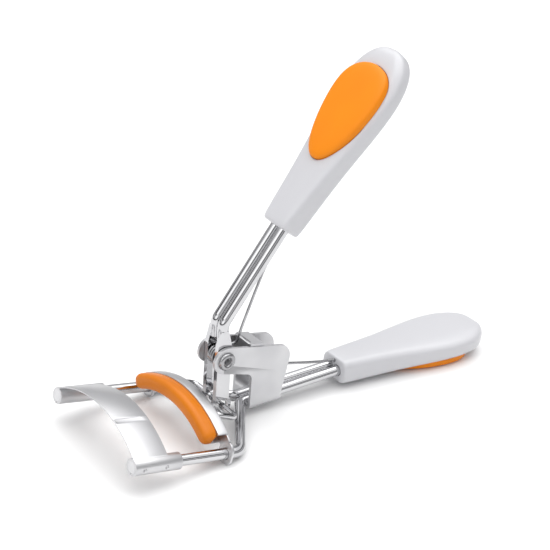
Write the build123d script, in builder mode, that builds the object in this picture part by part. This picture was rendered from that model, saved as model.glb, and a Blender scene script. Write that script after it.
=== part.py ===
from build123d import *

import math
import os

# Eyelash curler, open, as it rests on a table on its frame bends and lower handle.
#
# Most sizes are given in the clamp's own frame: x runs along the two rails from their
# free ends towards the handles, y runs across, z is square to the plane of the rails.
# That frame is tipped so that the rails rise towards their free ends.

# ---- driving dimensions, millimetres and degrees ----
TILT = 10.0              # rails to the table
CLAMP_X = -65.08         # where the rails' free ends stand in the part's frame
RAIL_Y = 18.5            # half the spacing of the rails

FRAME_WIRE = 3.0
TWIN_Y = 1.7             # half the spacing of the frame wires behind the bracket
FRAME_BEND = (32.8, 0.0)
FRAME_THROAT = (43.6, 4.07)
LOWER_ENTRY = (75.84, 10.7)
BEND_RADIUS = 4.0
THROAT_RADIUS = 2.6

JAW_LENGTH = 9.8
JAW_CROWN = 7.8
SLEEVE_LENGTH = 13.6
SHEET = 0.7
STAKES = (2.6, 9.0)      # dimples that lock the sleeves on the rails
STAKE = 1.0
EMBOSS = (7.4, 1.5, 3.9)     # length, width, place along the jaw
EMBOSS_Y = -8.0
EMBOSS_DEPTH = 0.3
ROLL_GAP = 60.0          # seam where the rolled sheet meets itself

PIVOT = (33.8, 18.2)
CRANK = (36.6, 4.6)
LEVER_WIRE = 3.0
LEVER_Y = 1.55
LEVER_BEND = (31.9, 27.7)
UPPER_ENTRY = (44.0, 53.44)
FLAT = 1.4               # thickness of the lever wires where they are pressed flat
FLAT_WIDTH = 4.2
ROUND_RUN = 4.4          # round wire left below the bend
FLAT_START = (1.5, 1.0)  # place and half width where the flat grows out of the wire
FLAT_FULL = 6.0
SHANK = 2.4              # pivot rivet
EYE_BORE = 4.0           # loose eye: this is the pivot that the joints leave open
EYE_WIDTH = 5.7
RUNNING = 0.05           # radial clearance of a running fit

PLATE = 0.8              # bracket sheet
PLATE_Y = 3.25           # inner face of the bracket's plates
NOSE = 3.7
PLATE_END = 55.0
PLATE_TOP = 21.6
PLATE_CORNER = 4.5
WRAP = (45.2, 55.4)
WINDOW = (43.4, 13.6)        # corner of the cut-out below the nose
WINDOW_CORNER = 1.5
BRIDGE = (41.0, 45.2, 22.3, 18.6)    # from, to, top, lip's lower edge
ROLLED_HEAD = (2.1, 0.45)    # radius, thickness
DOMED_HEAD = (3.0, 1.9)
RIVET_BORE = 0.8
SPACER = (1.6, 1.6)          # radius, half length

LINK_WIRE = 1.7
LINK_Y = 9.6
LUG_Y = 6.6
LUG_HINGE = (30.0, 6.0)
LUG_RADIUS = 1.9
LUG = 0.8

ARCH_RADIUS = 32.0       # moving jaw and pad
ARCH_CROWN = 7.6
CHANNEL_ANGLE = 30.5     # half angles of the arch that each covers
PAD_ANGLE = 28.0
EAR_ANGLE = 34.0
CHANNEL_BACK = 28.6
CHANNEL_LIP = 25.4
CHANNEL_HEIGHT = 4.4
CHANNEL_SHEET = 0.6
PAD_FRONT = 21.6
PAD_HEIGHT = 4.2
TONGUE = 2.9

EAR_LOW = -2.7           # the ears' lower edges, which stand on the table
EAR_HIGH = 3.4
EAR_WIDTH = 5.4

SPRING_WIRE = 0.8
COIL_RADIUS = 2.3
COIL_PITCH = 0.85
COIL_TURNS = 2.5
COIL_RUN = 1.2           # straight lead from the coil into each arm
UPPER_ARM = (
    (39.9, 0.8, 20.5),
    (39.5, 0.3, 24.8),
    (41.2, 0.0, 36.1),
    (42.7, 0.0, 44.6),
    (46.7, 0.0, 54.2),
)
UPPER_ARM_RADII = (4.0, 8.0, 4.0, 1.0, 3.0)
LOWER_ARM = ((57.25, 0.0, 13.6), (74.2, 0.0, 12.8), (79.0, 0.0, 13.6))
LOWER_ARM_RADII = (3.0, 8.0, 8.0)

HANDLE_LENGTH = 54.0
HANDLE_ENTRY = (5.2, 3.7)    # half width, half thickness
HANDLE_TAPER_END = (22.0, 7.6)
HANDLE_WIDEST = (40.0, 10.0)
HANDLE_TIP_HALF = 3.0
UPPER_ANGLE = 63.0
LOWER_ANGLE = TILT           # level on the table
GRIP_START = 19.5
GRIP_SHOULDER = (30.0, 7.4)
GRIP_WIDEST = (39.0, 8.7)
GRIP_END = 47.8
GRIP_THICKNESS = 2.8
GRIP_EDGE = 1.2
HANDLE_EDGE = 2.0
SOCKET = 15.0                # how far the wires go into a handle
LOWER_ARM_LIFT = 2.33        # where the spring enters each handle, off its middle
UPPER_ARM_LIFT = -2.06

CLAMP_Z = CHANNEL_BACK * math.sin(math.radians(TILT)) - EAR_LOW * math.cos(math.radians(TILT))


# ---- placing ----
def heading(angle):
    """World direction at an angle above the rails, in the vertical middle plane."""
    turn = math.radians(angle - TILT)
    return Vector(math.cos(turn), 0, math.sin(turn))


def at(x, y, z):
    """World point of a place in the clamp's frame."""
    return Vector(CLAMP_X, y, CLAMP_Z) + heading(0) * x + heading(90) * z


def side(point, y=0.0, angle=0.0):
    """Plane to draw side views on: local x along the heading, local y upwards."""
    return Plane(origin=at(point[0], y, point[1]), x_dir=heading(angle), z_dir=(0, -1, 0))


def across(x, z=0.0, angle=0.0):
    """Plane to draw cross sections on: local x is y, local y upwards."""
    return Plane(origin=at(x, 0, z), x_dir=(0, 1, 0), z_dir=heading(angle))


def above(point, angle=0.0, lift=0.0):
    """Plane to draw plan views on, lifted off a point square to the heading."""
    origin = at(point[0], 0, point[1]) + heading(angle + 90) * lift
    return Plane(origin=origin, x_dir=heading(angle), z_dir=heading(angle + 90))


def along(point, angle, distance):
    """Point of the middle plane a distance further on from another one."""
    turn = math.radians(angle)
    return (point[0] + distance * math.cos(turn), point[1] + distance * math.sin(turn))


def wire(points, radii, diameter):
    """Bent round wire through points of the clamp's frame."""
    with BuildPart() as bent:
        with BuildLine() as route:
            FilletPolyline(*[at(*point) for point in points], radius=radii)
        with BuildSketch(Plane(origin=route.line @ 0, z_dir=route.line % 0)):
            Circle(diameter / 2)
        sweep()
    return bent.part


def finish(builder, name):
    """Label a finished piece and write it."""
    builder.part.label = name
    export_step(builder.part, f"parts/{name}.step")


os.makedirs("parts", exist_ok=True)

lever_angle = math.degrees(math.atan2(UPPER_ENTRY[1] - LEVER_BEND[1], UPPER_ENTRY[0] - LEVER_BEND[0]))
crank_angle = math.degrees(math.atan2(CRANK[1] - LEVER_BEND[1], CRANK[0] - LEVER_BEND[0]))
frame_angle = math.degrees(
    math.atan2(LOWER_ENTRY[1] - FRAME_THROAT[1], LOWER_ENTRY[0] - FRAME_THROAT[0])
)
lower_socket = along(LOWER_ENTRY, LOWER_ANGLE, SOCKET)
upper_socket = along(UPPER_ENTRY, UPPER_ANGLE, SOCKET)

# ---- frame: two rails that run on as the lower handle's wires ----
for hand, name in ((-1, "frame_wire_left"), (1, "frame_wire_right")):
    with BuildPart() as frame_wire:
        add(
            wire(
                [
                    (0.0, hand * RAIL_Y, 0.0),
                    (FRAME_BEND[0], hand * RAIL_Y, FRAME_BEND[1]),
                    (FRAME_THROAT[0], hand * TWIN_Y, FRAME_THROAT[1]),
                    (LOWER_ENTRY[0], hand * TWIN_Y, LOWER_ENTRY[1]),
                    (lower_socket[0], hand * TWIN_Y, lower_socket[1]),
                ],
                (BEND_RADIUS, THROAT_RADIUS, 10 * BEND_RADIUS),
                FRAME_WIRE,
            )
        )
    finish(frame_wire, name)

# ---- fixed jaw: arched plate whose ends are rolled round the rails ----
sleeve_radius = FRAME_WIRE / 2 + SHEET
jaw_radius = (RAIL_Y**2 + JAW_CROWN**2 - sleeve_radius**2) / (2 * (JAW_CROWN - sleeve_radius))
jaw_centre = JAW_CROWN - jaw_radius
tangent_scale = jaw_radius / (jaw_radius - sleeve_radius)
tangent = (RAIL_Y * tangent_scale, jaw_centre - jaw_centre * tangent_scale)
inner_scale = (jaw_radius - SHEET) / jaw_radius
inner_tangent = (tangent[0] * inner_scale, jaw_centre + (tangent[1] - jaw_centre) * inner_scale)
with BuildPart() as fixed_jaw:
    with BuildSketch(across(0)):
        with BuildLine():
            ThreePointArc((-tangent[0], tangent[1]), (0, JAW_CROWN), tangent)
            Line(tangent, inner_tangent)
            ThreePointArc(inner_tangent, (0, JAW_CROWN - SHEET), (-inner_tangent[0], inner_tangent[1]))
            Line((-inner_tangent[0], inner_tangent[1]), (-tangent[0], tangent[1]))
        make_face()
    extrude(amount=JAW_LENGTH)
    with BuildSketch(across(0)):
        with Locations((-RAIL_Y, 0), (RAIL_Y, 0)):
            Circle(sleeve_radius)
    extrude(amount=SLEEVE_LENGTH)
    with BuildSketch(across(0)):
        with Locations((-RAIL_Y, 0), (RAIL_Y, 0)):
            Circle(FRAME_WIRE / 2)
    extrude(amount=SLEEVE_LENGTH, mode=Mode.SUBTRACT)
    for hand in (-1, 1):
        seam = across(0) * Location((hand * RAIL_Y, 0, 0))
        with BuildSketch(seam):
            with Locations(Location((0, 0, 0), (0, 0, -90 - hand * ROLL_GAP))):
                Rectangle(2 * sleeve_radius, 0.5 * SHEET, align=(Align.MIN, Align.CENTER))
        extrude(amount=SLEEVE_LENGTH, mode=Mode.SUBTRACT)
        for stake in STAKES:
            with Locations(side((stake, 0), hand * (RAIL_Y + sleeve_radius), 0)):
                Sphere(STAKE / 2, mode=Mode.SUBTRACT)
    emboss_top = jaw_centre + math.sqrt(jaw_radius**2 - EMBOSS_Y**2)
    emboss_slope = math.degrees(math.asin(-EMBOSS_Y / jaw_radius))
    emboss_plane = above((EMBOSS[2], emboss_top)).offset(-EMBOSS_DEPTH) * Location((0, EMBOSS_Y, 0))
    with BuildSketch(emboss_plane * Location((0, 0, 0), (emboss_slope, 0, 0))):
        SlotOverall(EMBOSS[0], EMBOSS[1])
    extrude(amount=SHEET, mode=Mode.SUBTRACT)
finish(fixed_jaw, "fixed_jaw")

# ---- pivot bracket: one folded sheet that wraps the frame wires ----
wrap_low = FRAME_WIRE / 2 + PLATE


def frame_height(x):
    """Height of the frame wires' axis above the rails behind the throat."""
    return FRAME_THROAT[1] + (x - FRAME_THROAT[0]) * math.tan(math.radians(frame_angle))


with BuildPart() as pivot_bracket:
    for hand in (-1, 1):
        with BuildSketch(side((0, 0), hand * (PLATE_Y + PLATE / 2))) as cheek:
            with BuildLine():
                Polyline(
                    (PIVOT[0], PIVOT[1] + NOSE),
                    (PLATE_END - 0.4, PLATE_TOP),
                    (PLATE_END, frame_height(PLATE_END)),
                    (WRAP[0], frame_height(WRAP[0])),
                    WINDOW,
                    (PIVOT[0], PIVOT[1] - NOSE),
                    close=True,
                )
            make_face()
            fillet(cheek.vertices().sort_by_distance((PLATE_END, PLATE_TOP))[0], PLATE_CORNER)
            fillet(cheek.vertices().sort_by_distance(WINDOW)[0], WINDOW_CORNER)
            with Locations(PIVOT):
                Circle(NOSE)
            with Locations(PIVOT):
                Circle(SHANK / 2, mode=Mode.SUBTRACT)
        extrude(amount=PLATE / 2, both=True)
    with BuildSketch(across(WRAP[0], frame_height(WRAP[0]), frame_angle)) as wrap:
        Rectangle(2 * (PLATE_Y + PLATE), 2 * wrap_low)
        fillet(wrap.vertices(), wrap_low - 0.1)
        with Locations((0, wrap_low / 2 + 0.5)):
            Rectangle(2 * (PLATE_Y + PLATE), wrap_low + 1.0, mode=Mode.SUBTRACT)
        with Locations((-TWIN_Y, 0), (TWIN_Y, 0)):
            Circle(FRAME_WIRE / 2, mode=Mode.SUBTRACT)
        Rectangle(2 * TWIN_Y, FRAME_WIRE, mode=Mode.SUBTRACT)
    extrude(amount=(WRAP[1] - WRAP[0]) / math.cos(math.radians(frame_angle)))
    with BuildSketch(side((0, 0))) as bridge:
        with BuildLine():
            Polyline(
                (BRIDGE[0], BRIDGE[3]),
                (BRIDGE[0], BRIDGE[2]),
                (BRIDGE[1], BRIDGE[2]),
                (BRIDGE[1], BRIDGE[2] - PLATE),
                (BRIDGE[0] + PLATE, BRIDGE[2] - PLATE),
                (BRIDGE[0] + PLATE, BRIDGE[3]),
                close=True,
            )
        make_face()
        fillet(bridge.vertices().sort_by_distance((BRIDGE[0], BRIDGE[2]))[0], PLATE - 0.1)
    extrude(amount=PLATE_Y + PLATE / 2, both=True)
finish(pivot_bracket, "pivot_bracket")

# ---- pivot rivet, with a rolled near head and a domed far head, and its spacer ----
cheek_face = PLATE_Y + PLATE
with BuildPart() as pivot_rivet:
    with BuildSketch(side(PIVOT)):
        Circle(SHANK / 2)
    extrude(amount=cheek_face, both=True)
    with BuildSketch(side(PIVOT, -cheek_face)):
        Circle(ROLLED_HEAD[0])
    extrude(amount=ROLLED_HEAD[1])
    with BuildSketch(side(PIVOT, cheek_face)):
        Circle(DOMED_HEAD[0])
    extrude(amount=-DOMED_HEAD[1])
    far_rim = pivot_rivet.edges().group_by(Axis.Y)[-1]
    fillet(far_rim, DOMED_HEAD[1] - 0.2)
    near_rim = pivot_rivet.edges().group_by(Axis.Y)[0]
    fillet(near_rim, ROLLED_HEAD[1] - 0.1)
    with BuildSketch(side(PIVOT, -cheek_face - ROLLED_HEAD[1])):
        Circle(RIVET_BORE)
    extrude(amount=-2 * PLATE, mode=Mode.SUBTRACT)
finish(pivot_rivet, "pivot_rivet")

with BuildPart() as pivot_spacer:
    with BuildSketch(side(PIVOT)):
        Circle(SPACER[0])
        Circle(SHANK / 2, mode=Mode.SUBTRACT)
    extrude(amount=SPACER[1], both=True)
finish(pivot_spacer, "pivot_spacer")

# ---- lever: two wires, pressed flat at the pivot, each with an eye for the link ----
flat_face = LEVER_Y + LEVER_WIRE / 2
round_end = along(LEVER_BEND, crank_angle, ROUND_RUN)
crank_reach = math.dist(LEVER_BEND, CRANK)
for hand, name in ((-1, "lever_wire_left"), (1, "lever_wire_right")):
    with BuildPart() as lever_wire:
        add(
            wire(
                [
                    (upper_socket[0], hand * LEVER_Y, upper_socket[1]),
                    (UPPER_ENTRY[0], hand * LEVER_Y, UPPER_ENTRY[1]),
                    (LEVER_BEND[0], hand * LEVER_Y, LEVER_BEND[1]),
                    (round_end[0], hand * LEVER_Y, round_end[1]),
                ],
                (10 * BEND_RADIUS, BEND_RADIUS),
                LEVER_WIRE,
            )
        )
        with BuildSketch(side(LEVER_BEND, hand * (flat_face - FLAT / 2), crank_angle)):
            with BuildLine():
                Polyline(
                    (FLAT_START[0], -FLAT_START[1]),
                    (FLAT_FULL, -FLAT_WIDTH / 2),
                    (crank_reach, -FLAT_WIDTH / 2),
                    (crank_reach, FLAT_WIDTH / 2),
                    (FLAT_FULL, FLAT_WIDTH / 2),
                    FLAT_START,
                    close=True,
                )
            make_face()
            with Locations((crank_reach, 0)):
                Circle(EYE_WIDTH / 2)
                Circle(EYE_BORE / 2, mode=Mode.SUBTRACT)
        extrude(amount=FLAT / 2, both=True)
        with BuildSketch(side(PIVOT, hand * flat_face)):
            Circle(SHANK / 2 + RUNNING)
        extrude(amount=hand * 2 * FLAT, mode=Mode.SUBTRACT)
    finish(lever_wire, name)

# ---- return spring round the spacer: one wire through both arms and the coil ----
coil_end = COIL_PITCH * COIL_TURNS / 2
coil_lean = COIL_PITCH / (2 * math.pi * COIL_RADIUS) * COIL_RUN
coil_plane = Plane(origin=at(PIVOT[0], coil_end, PIVOT[1]), x_dir=heading(90), z_dir=(0, -1, 0))
coil = coil_plane.location * Helix(COIL_PITCH, COIL_PITCH * COIL_TURNS, COIL_RADIUS)
upper_points = [at(x, y, z) for x, y, z in reversed(UPPER_ARM)]
upper_points.append(at(PIVOT[0] + COIL_RUN, coil_end + coil_lean, PIVOT[1] + COIL_RADIUS))
upper_points.append(at(PIVOT[0], coil_end, PIVOT[1] + COIL_RADIUS))
lower_points = [at(PIVOT[0], -coil_end, PIVOT[1] - COIL_RADIUS)]
lower_points.append(at(PIVOT[0] + COIL_RUN, -coil_end - coil_lean, PIVOT[1] - COIL_RADIUS))
lower_points += [at(x, y, z) for x, y, z in LOWER_ARM]
upper_run = FilletPolyline(*upper_points, radius=UPPER_ARM_RADII)
lower_run = FilletPolyline(*lower_points, radius=LOWER_ARM_RADII)
spring_path = Wire([*upper_run.edges(), *coil.edges(), *lower_run.edges()])
with BuildPart() as return_spring:
    with BuildSketch(Plane(origin=spring_path @ 0, z_dir=spring_path % 0)):
        Circle(SPRING_WIRE / 2)
    sweep(path=spring_path)
finish(return_spring, "return_spring")

# ---- moving jaw: arched channel with an ear on each rail and two lugs for the link ----
arch_centre = ARCH_CROWN - ARCH_RADIUS


def arch_band(half_angle, inner, outer):
    """Band along the arch between two radii, measured from its middle line."""
    reach = math.radians(half_angle)
    corners = []
    for radius in (ARCH_RADIUS + inner, ARCH_RADIUS + outer):
        right = (radius * math.sin(reach), arch_centre + radius * math.cos(reach))
        corners.append(((-right[0], right[1]), (0, arch_centre + radius), right))
    with BuildSketch() as band:
        with BuildLine():
            ThreePointArc(*corners[0])
            Line(corners[0][2], corners[1][2])
            ThreePointArc(*corners[1])
            Line(corners[1][0], corners[0][0])
        make_face()
    return band.sketch


def arch_strip(half_angle, height):
    """Band along the arch with round ends."""
    reach = math.radians(half_angle)
    end = (ARCH_RADIUS * math.sin(reach), arch_centre + ARCH_RADIUS * math.cos(reach))
    with BuildSketch() as strip:
        add(arch_band(half_angle, -height / 2, height / 2))
        with Locations(end, (-end[0], end[1])):
            Circle(height / 2)
    return strip.sketch


with BuildPart() as moving_jaw:
    with BuildSketch(across(CHANNEL_LIP)):
        add(arch_band(CHANNEL_ANGLE, -CHANNEL_HEIGHT / 2, CHANNEL_HEIGHT / 2))
    extrude(amount=CHANNEL_BACK - CHANNEL_LIP)
    with BuildSketch(across(CHANNEL_LIP)):
        hollow = CHANNEL_HEIGHT / 2 - CHANNEL_SHEET
        add(arch_band(CHANNEL_ANGLE + 2, -hollow, hollow))
    extrude(amount=CHANNEL_BACK - CHANNEL_LIP - CHANNEL_SHEET, mode=Mode.SUBTRACT)
    with BuildSketch(across(CHANNEL_BACK - CHANNEL_SHEET)) as ears:
        add(arch_band(EAR_ANGLE, -CHANNEL_HEIGHT / 2 + 0.3, CHANNEL_HEIGHT / 2 - 0.3))
        with Locations((-RAIL_Y, (EAR_LOW + EAR_HIGH) / 2), (RAIL_Y, (EAR_LOW + EAR_HIGH) / 2)):
            RectangleRounded(EAR_WIDTH, EAR_HIGH - EAR_LOW, EAR_WIDTH / 2 - 0.5)
        with Locations((-RAIL_Y, 0), (RAIL_Y, 0)):
            Circle(FRAME_WIRE / 2 + 1.6 * RUNNING, mode=Mode.SUBTRACT)
    extrude(amount=CHANNEL_SHEET)
    for hand in (-1, 1):
        with BuildSketch(side(LUG_HINGE, hand * (LUG_Y + LUG / 2))):
            Circle(LUG_RADIUS)
            with Locations((0, 0)):
                Rectangle(LUG_HINGE[0] - CHANNEL_BACK + 0.1, 2 * LUG_RADIUS, align=(Align.MAX, Align.CENTER))
            Circle(LINK_WIRE / 2 + RUNNING, mode=Mode.SUBTRACT)
        extrude(amount=LUG / 2, both=True)
finish(moving_jaw, "moving_jaw")

# ---- lash pad: rounded strip whose tongue sits in the channel ----
with BuildPart() as lash_pad:
    with BuildSketch(across(PAD_FRONT)):
        add(arch_strip(PAD_ANGLE, PAD_HEIGHT))
    extrude(amount=CHANNEL_LIP - PAD_FRONT)
    front = lash_pad.faces().filter_by(Plane(origin=at(0, 0, 0), z_dir=heading(0))).sort_by(
        Axis(at(0, 0, 0), heading(0))
    )[0]
    fillet(front.edges(), 1.5)
    with BuildSketch(across(CHANNEL_LIP)):
        add(arch_strip(PAD_ANGLE, TONGUE))
    extrude(amount=CHANNEL_BACK - CHANNEL_LIP - CHANNEL_SHEET - 0.1)
finish(lash_pad, "lash_pad")

# ---- link: bent wire from the lugs to the lever's eyes ----
with BuildPart() as link_wire:
    link_half = [
        (LUG_HINGE[0], LUG_Y - 0.8, LUG_HINGE[1]),
        (LUG_HINGE[0], LINK_Y, LUG_HINGE[1]),
        (CRANK[0], LINK_Y, CRANK[1]),
    ]
    link_points = link_half + [(x, -y, z) for x, y, z in reversed(link_half)]
    add(wire(link_points, 1.6, LINK_WIRE))
finish(link_wire, "link_wire")


# ---- handles and their soft grips ----
grip_face = at(LOWER_ENTRY[0], 0, LOWER_ENTRY[1]).Z     # the lower grip rests on the table


def grip_outline(plane):
    """Teardrop outline of a grip or of its seat."""
    with BuildSketch(plane) as teardrop:
        with BuildLine():
            Spline(
                (GRIP_START, 0),
                GRIP_SHOULDER,
                GRIP_WIDEST,
                (GRIP_END, 0),
                tangents=((0, 1), (0, -1)),
            )
            mirror(about=Plane.XZ)
        make_face()
    return teardrop.sketch


def handle(entry, angle, outer, wire_y, arm):
    """Paddle with bores for its two wires and the spring, and a seat for the grip."""
    plan = above(entry, angle)
    mouth = Plane(origin=plan.origin, x_dir=(0, 1, 0), z_dir=plan.x_dir)
    with BuildPart() as paddle:
        with BuildSketch(plan):
            with BuildLine():
                Line((0, 0), (0, HANDLE_ENTRY[0]))
                Line((0, HANDLE_ENTRY[0]), HANDLE_TAPER_END)
                Spline(
                    HANDLE_TAPER_END,
                    HANDLE_WIDEST,
                    (HANDLE_LENGTH, 0),
                    tangents=((HANDLE_TAPER_END[0], HANDLE_TAPER_END[1] - HANDLE_ENTRY[0]), (0, -1)),
                )
                mirror(about=Plane.XZ)
            make_face()
        extrude(amount=HANDLE_ENTRY[1], both=True)
        with BuildSketch(side(entry, 0, angle)):
            with BuildLine():
                Polyline(
                    (0, -HANDLE_ENTRY[1]),
                    (1.1 * HANDLE_LENGTH, -HANDLE_TIP_HALF),
                    (1.1 * HANDLE_LENGTH, HANDLE_TIP_HALF),
                    (0, HANDLE_ENTRY[1]),
                    close=True,
                )
            make_face()
        extrude(amount=HANDLE_LENGTH, both=True, mode=Mode.INTERSECT)
        fillet(paddle.edges().filter_by(lambda edge: edge.length > 4 * HANDLE_ENTRY[0]), HANDLE_EDGE)
        with BuildSketch(mouth):
            with Locations((-wire_y, 0), (wire_y, 0)):
                Circle(FRAME_WIRE / 2)
        extrude(amount=SOCKET, mode=Mode.SUBTRACT)
        with BuildSketch(mouth):
            with Locations((0, arm)):
                Circle(SPRING_WIRE)
        extrude(amount=SOCKET / 3, mode=Mode.SUBTRACT)
        seat = plan.offset(outer * (grip_face - GRIP_THICKNESS))
        add(grip_outline(seat))
        extrude(amount=outer * GRIP_THICKNESS, mode=Mode.SUBTRACT)
    return paddle


def grip(entry, angle, outer):
    """Soft grip pad that fills its seat and stands a little proud."""
    seat = above(entry, angle).offset(outer * (grip_face - GRIP_THICKNESS))
    with BuildPart() as soft:
        add(grip_outline(seat))
        extrude(amount=outer * GRIP_THICKNESS)
        crown = soft.edges().sort_by(Axis(seat.origin, seat.z_dir * outer))[-1:]
        fillet(crown, GRIP_EDGE)
    return soft


finish(handle(LOWER_ENTRY, LOWER_ANGLE, -1, TWIN_Y, LOWER_ARM_LIFT), "lower_handle")
finish(grip(LOWER_ENTRY, LOWER_ANGLE, -1), "lower_grip")
finish(handle(UPPER_ENTRY, UPPER_ANGLE, 1, LEVER_Y, UPPER_ARM_LIFT), "upper_handle")
finish(grip(UPPER_ENTRY, UPPER_ANGLE, 1), "upper_grip")
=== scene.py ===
import math

import bmesh
import bpy
from bpy.props import FloatProperty, FloatVectorProperty, IntProperty, PointerProperty
from mathutils import Matrix, Vector


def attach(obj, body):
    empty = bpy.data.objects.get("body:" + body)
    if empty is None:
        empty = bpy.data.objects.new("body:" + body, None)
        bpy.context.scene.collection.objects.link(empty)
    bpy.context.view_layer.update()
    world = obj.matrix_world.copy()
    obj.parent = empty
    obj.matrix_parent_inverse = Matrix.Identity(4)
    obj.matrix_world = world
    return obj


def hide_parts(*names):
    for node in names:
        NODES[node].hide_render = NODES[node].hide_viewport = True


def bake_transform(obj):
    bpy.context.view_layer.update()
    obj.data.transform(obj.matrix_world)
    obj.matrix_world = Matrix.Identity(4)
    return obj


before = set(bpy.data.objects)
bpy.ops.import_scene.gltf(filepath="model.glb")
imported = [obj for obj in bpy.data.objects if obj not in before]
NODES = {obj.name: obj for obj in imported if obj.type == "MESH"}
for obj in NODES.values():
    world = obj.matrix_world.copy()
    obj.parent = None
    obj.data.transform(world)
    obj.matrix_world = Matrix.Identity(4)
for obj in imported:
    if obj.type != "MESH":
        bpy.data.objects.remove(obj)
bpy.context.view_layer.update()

bl_info = {
    "name": "Eyelash Curler",
    "version": (1, 0, 0),
    "blender": (4, 5, 0),
    "location": "View3D > Sidebar > Curler",
    "description": "Builds the looks of an eyelash curler round its packed frame",
    "category": "Object",
}

MM = 0.001
BARE_WIRES = ("frame_wire_left", "frame_wire_right", "lever_wire_left", "lever_wire_right", "link_wire")

# The clamp's own frame: x runs along the rails from their free ends, z is square to them.
CLAMP = Matrix.Translation((-65.08 * MM, 0, 7.6253 * MM)) @ Matrix.Rotation(math.radians(10), 4, "Y")
RAIL_Y = 18.5 * MM
PIVOT = Vector((33.8, 0, 18.2)) * MM
LOWER_ENTRY = (75.84, 10.7, 10.0)      # x, z and heading of each handle's mouth
UPPER_ENTRY = (44.0, 53.44, 63.0)
# Brightness of the studio by height: the dark band draws a line along each bright wire.
SKY = ((0.05, 0.05), (0.12, 0.50), (0.34, 0.66), (0.36, 0.02), (0.46, 0.02), (0.49, 0.85))
CAMERA_PLACE = (-0.21986, -0.26005, 0.20279)
CAMERA_TURN = (63.699, -5.042, -36.100)    # degrees


def seat(x, z, heading):
    """Frame of a place in the middle plane: x along the heading, z square to it."""
    turn = Matrix.Rotation(-math.radians(heading), 4, "Y")
    return CLAMP @ Matrix.Translation((x * MM, 0, z * MM)) @ turn


# ---------------------------------------------------------------- sizes and colours

class CurlerSizes(bpy.types.PropertyGroup):
    """Sizes of the pieces that are modelled here."""

    sheet_edge: FloatProperty(
        name="Sheet edge", description="Rounding on the edges of the pressed sheet",
        default=0.16 * MM, min=0.0, unit="LENGTH",
    )
    handle_corner: FloatProperty(
        name="Handle corner", description="Rounding along the corners of the handles",
        default=2.3 * MM, min=0.0, unit="LENGTH",
    )
    grip_gap: FloatProperty(
        name="Grip gap", description="Width of the joint line round each grip",
        default=0.22 * MM, min=0.0, unit="LENGTH",
    )
    grip_height: FloatProperty(
        name="Grip height", description="How far the edge of each grip stands above its handle",
        default=0.75 * MM, min=0.0, unit="LENGTH",
    )
    pad_corner: FloatProperty(
        name="Pad corner", description="Rounding of the lash pad's front corners",
        default=1.55 * MM, min=0.0, unit="LENGTH",
    )
    spring_wire: FloatProperty(
        name="Spring wire", description="Diameter of the return spring's wire",
        default=0.8 * MM, min=0.0, unit="LENGTH",
    )
    coil_turns: FloatProperty(
        name="Coil turns", description="Turns of the return spring's coil",
        default=2.5, min=0.5,
    )
    arc_steps: IntProperty(
        name="Arc steps", description="Steps that each arch is divided into",
        default=44, min=8, subtype="UNSIGNED",
    )


def tint(name, description, colour):
    """Colour property with a default."""
    return FloatVectorProperty(
        name=name, description=description, default=colour, size=3, min=0.0, max=1.0, subtype="COLOR",
    )


class CurlerColours(bpy.types.PropertyGroup):
    """Colours of the finishes."""

    plate_light: tint("Plate", "Nickel plate where it is clean", (0.63, 0.63, 0.64))
    plate_dull: tint("Dull plate", "Nickel plate where it is handled", (0.55, 0.55, 0.565))
    steel_light: tint("Steel", "Rivet and spring steel", (0.46, 0.46, 0.47))
    steel_dull: tint("Dull steel", "Rivet and spring steel in its marks", (0.28, 0.28, 0.29))
    shell_light: tint("Shell", "White plastic of the handles", (0.565, 0.565, 0.588))
    shell_dull: tint("Dull shell", "White plastic in its flow marks", (0.558, 0.558, 0.582))
    grip_light: tint("Grip", "Orange of the grips", (0.82, 0.240, 0.002))
    grip_dull: tint("Dull grip", "Orange of the grips where it is rubbed", (0.78, 0.222, 0.002))
    pad_light: tint("Pad", "Orange of the lash pad", (0.64, 0.180, 0.003))
    pad_dull: tint("Dull pad", "Orange of the lash pad where it is rubbed", (0.59, 0.162, 0.003))
    floor: tint("Floor", "Pale floor", (0.90, 0.90, 0.90))


class CurlerStage(bpy.types.PropertyGroup):
    """Light and camera."""

    top_light: FloatProperty(
        name="Top light", description="Power of the broad light overhead", default=6.8, min=0.0, unit="POWER",
    )
    side_light: FloatProperty(
        name="Side light", description="Power of the fill light beside the camera", default=1.6, min=0.0,
        unit="POWER",
    )
    lens: FloatProperty(
        name="Lens", description="Focal length in millimetres", default=93.63, min=1.0, unit="CAMERA",
    )


# ---------------------------------------------------------------- modelling helpers

def only(*pieces):
    """Select these objects and no others; the last one is active."""
    bpy.ops.object.select_all(action="DESELECT")
    for piece in pieces:
        piece.select_set(True)
    bpy.context.view_layer.objects.active = pieces[-1]


def start(kind, name, location=(0, 0, 0), scale=(1, 1, 1), rotation=(0, 0, 0), **size):
    """Add a primitive at its place, in millimetres, with its transforms applied."""
    bpy.ops.object.select_all(action="DESELECT")
    getattr(bpy.ops.mesh, f"primitive_{kind}_add")(rotation=rotation, **size)
    piece = bpy.context.object
    piece.name = piece.data.name = name
    piece.scale = Vector(scale) * MM
    piece.location = Vector(location) * MM
    bpy.ops.object.transform_apply(location=True, rotation=True, scale=True)
    return piece


def edit(piece):
    """Open a piece's mesh."""
    only(piece)
    bpy.ops.object.mode_set(mode="EDIT")


def close_up():
    """Merge what coincides, turn the faces outwards and close the mesh."""
    bpy.ops.mesh.select_all(action="SELECT")
    bpy.ops.mesh.remove_doubles(threshold=0.002 * MM)
    bpy.ops.mesh.normals_make_consistent(inside=False)
    bpy.ops.object.mode_set(mode="OBJECT")


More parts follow.
